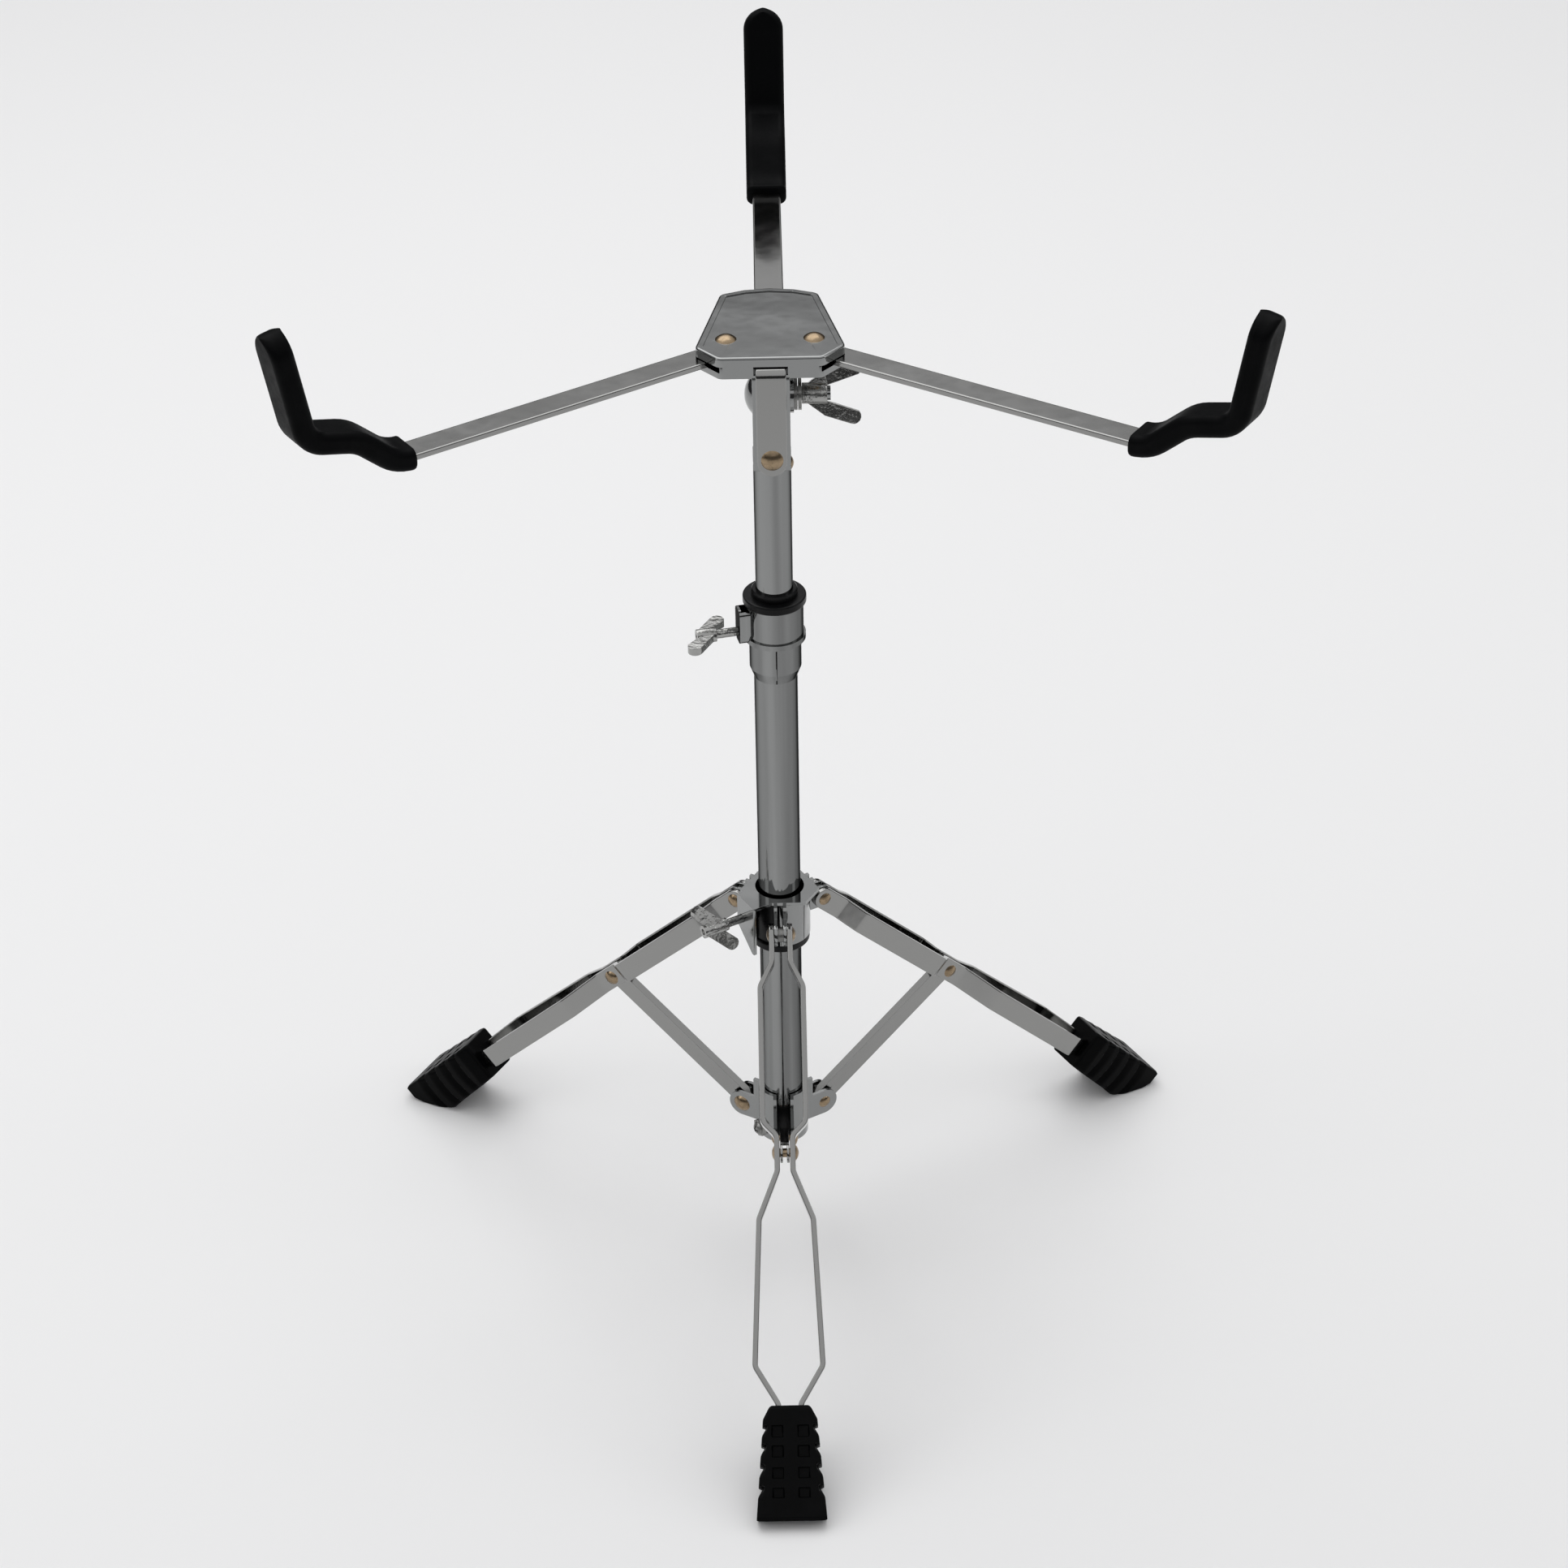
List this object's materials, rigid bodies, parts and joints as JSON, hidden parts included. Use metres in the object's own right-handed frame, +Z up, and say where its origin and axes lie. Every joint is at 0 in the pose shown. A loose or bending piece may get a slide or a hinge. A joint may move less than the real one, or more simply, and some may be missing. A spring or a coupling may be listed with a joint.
{
  "type": "snare drum stand",
  "caption": "Chromed snare drum stand: folding double-strap tripod on rubber feet, telescoping post with wing-screw clamp, tilter, and a basket whose arms end in black rubber grips.",
  "frame": {"origin": "on the ground, under the axis of the post", "axes": "+Z up along the post, -Y towards the front leg, +Y towards the fixed basket arm"},
  "size_m": [0.3854, 0.4161, 0.5306],
  "materials": {
    "chrome": "bright chrome plate on formed steel",
    "brass": "brass-plated rivets and screws, slightly dull",
    "rubber": "moulded black rubber, satin",
    "nylon": "moulded black nylon",
    "steel": "zinc-plated steel fixings"
  },
  "bodies": {
    "base": {"lower_tube": "chrome", "clamp_collar": "chrome", "clamp_nut": "steel", "clamp_bush": "nylon", "end_plug": "nylon", "bracket_plate_left": "chrome", "bracket_plate_right": "chrome", "bracket_plate_rear": "chrome", "bottom_rivets": "brass", "bracket_screw": "steel", "bracket_nut": "steel"},
    "clamp_screw": {"clamp_screw": "chrome"},
    "leg_hub": {"leg_hub": "chrome", "leg_hub_bush": "nylon", "leg_hub_nut": "steel", "leg_hub_rivets": "brass", "leg_hub_spacers": "steel"},
    "leg_hub_screw": {"leg_hub_screw": "chrome"},
    "mast": {"upper_tube": "chrome", "upper_tube_guide": "nylon", "tilter_plug": "steel", "plug_rivet": "brass", "tilt_bolt": "chrome", "tilt_cup_washer": "chrome", "tilt_washers": "steel"},
    "tilt_nut": {"tilt_wing_nut": "chrome"},
    "basket": {"tilt_bracket": "chrome", "basket_top_plate": "chrome", "basket_dish": "chrome", "rear_arm": "chrome", "grip_rear": "rubber", "arm_rivets": "brass", "basket_spacers": "steel", "strap_rivet": "brass"},
    "arm_left": {"arm_left": "chrome", "grip_left": "rubber"},
    "arm_right": {"arm_right": "chrome", "grip_right": "rubber"},
    "brace_front": {"brace_front": "chrome"},
    "leg_front": {"leg_front_strap_a": "chrome", "leg_front_strap_b": "chrome", "leg_front_rivet": "brass", "leg_front_foot": "rubber"},
    "brace_right": {"brace_right": "chrome"},
    "leg_right": {"leg_right_strap_a": "chrome", "leg_right_strap_b": "chrome", "leg_right_rivet": "brass", "leg_right_foot": "rubber"},
    "brace_left": {"brace_left": "chrome"},
    "leg_left": {"leg_left_strap_a": "chrome", "leg_left_strap_b": "chrome", "leg_left_rivet": "brass", "leg_left_foot": "rubber"}
  },
  "joints": [
    {"name": "tripod_fold", "type": "hinge", "parent": "base", "child": "brace_front", "pos_m": [0, -0.02, 0.0618], "axis": [-1, 0, 0], "range_deg": [0, 49]},
    {"name": "leg_front_fold", "type": "hinge", "parent": "brace_front", "child": "leg_front", "pos_m": [0, -0.09034, 0.11135], "axis": [1, 0, 0], "range_deg": [0, 89.2]},
    {"name": "leg_hub_rise", "type": "hinge", "parent": "leg_front", "child": "leg_hub", "pos_m": [0, -0.0208, 0.1804], "axis": [-1, 0, 0], "range_deg": [0, 40.2]},
    {"name": "leg_right_fold", "type": "hinge", "parent": "leg_hub", "child": "leg_right", "pos_m": [0.01801, 0.0104, 0.1804], "axis": [-0.5, 0.866, 0], "range_deg": [0, 40.2]},
    {"name": "brace_right_fold", "type": "hinge", "parent": "leg_right", "child": "brace_right", "pos_m": [0.07823, 0.04517, 0.11135], "axis": [0.5, -0.866, 0], "range_deg": [0, 89.2]},
    {"name": "leg_left_fold", "type": "hinge", "parent": "leg_hub", "child": "leg_left", "pos_m": [-0.01801, 0.0104, 0.1804], "axis": [-0.5, -0.866, 0], "range_deg": [0, 40.2]},
    {"name": "brace_left_fold", "type": "hinge", "parent": "leg_left", "child": "brace_left", "pos_m": [-0.07823, 0.04517, 0.11135], "axis": [0.5, 0.866, 0], "range_deg": [0, 89.2]},
    {"name": "leg_hub_screw_turn", "type": "hinge", "parent": "leg_hub", "child": "leg_hub_screw", "pos_m": [-0.02598, -0.015, 0.182], "axis": [-0.866, -0.5, 0], "continuous": true},
    {"name": "clamp_screw_turn", "type": "hinge", "parent": "base", "child": "clamp_screw", "pos_m": [-0.02436, -0.00562, 0.3298], "axis": [-0.9744, -0.225, 0], "continuous": true},
    {"name": "height", "type": "slide", "parent": "base", "child": "mast", "axis": [0, 0, 1], "range_m": [-0.055, 0.09]},
    {"name": "tilt", "type": "hinge", "parent": "mast", "child": "basket", "pos_m": [0, 0, 0.4417], "axis": [-1, 0, 0], "range_deg": [-15, 60]},
    {"name": "tilt_nut_turn", "type": "hinge", "parent": "mast", "child": "tilt_nut", "pos_m": [0.018, 0, 0.4417], "axis": [1, 0, 0], "continuous": true},
    {"name": "arm_left_swing", "type": "hinge", "parent": "basket", "child": "arm_left", "pos_m": [-0.018, -0.004, 0.4636], "axis": [0, 0, 1], "range_deg": [0, 24]},
    {"name": "arm_right_swing", "type": "hinge", "parent": "basket", "child": "arm_right", "pos_m": [0.018, -0.004, 0.4636], "axis": [0, 0, -1], "range_deg": [0, 24]}
  ],
  "couplings": [
    {"joint": "leg_front_fold", "follows": "tripod_fold", "ratio": 1.8163},
    {"joint": "leg_hub_rise", "follows": "tripod_fold", "ratio": 0.81633},
    {"joint": "leg_right_fold", "follows": "tripod_fold", "ratio": 0.81633},
    {"joint": "brace_right_fold", "follows": "tripod_fold", "ratio": 1.8163},
    {"joint": "leg_left_fold", "follows": "tripod_fold", "ratio": 0.81633},
    {"joint": "brace_left_fold", "follows": "tripod_fold", "ratio": 1.8163}
  ]
}
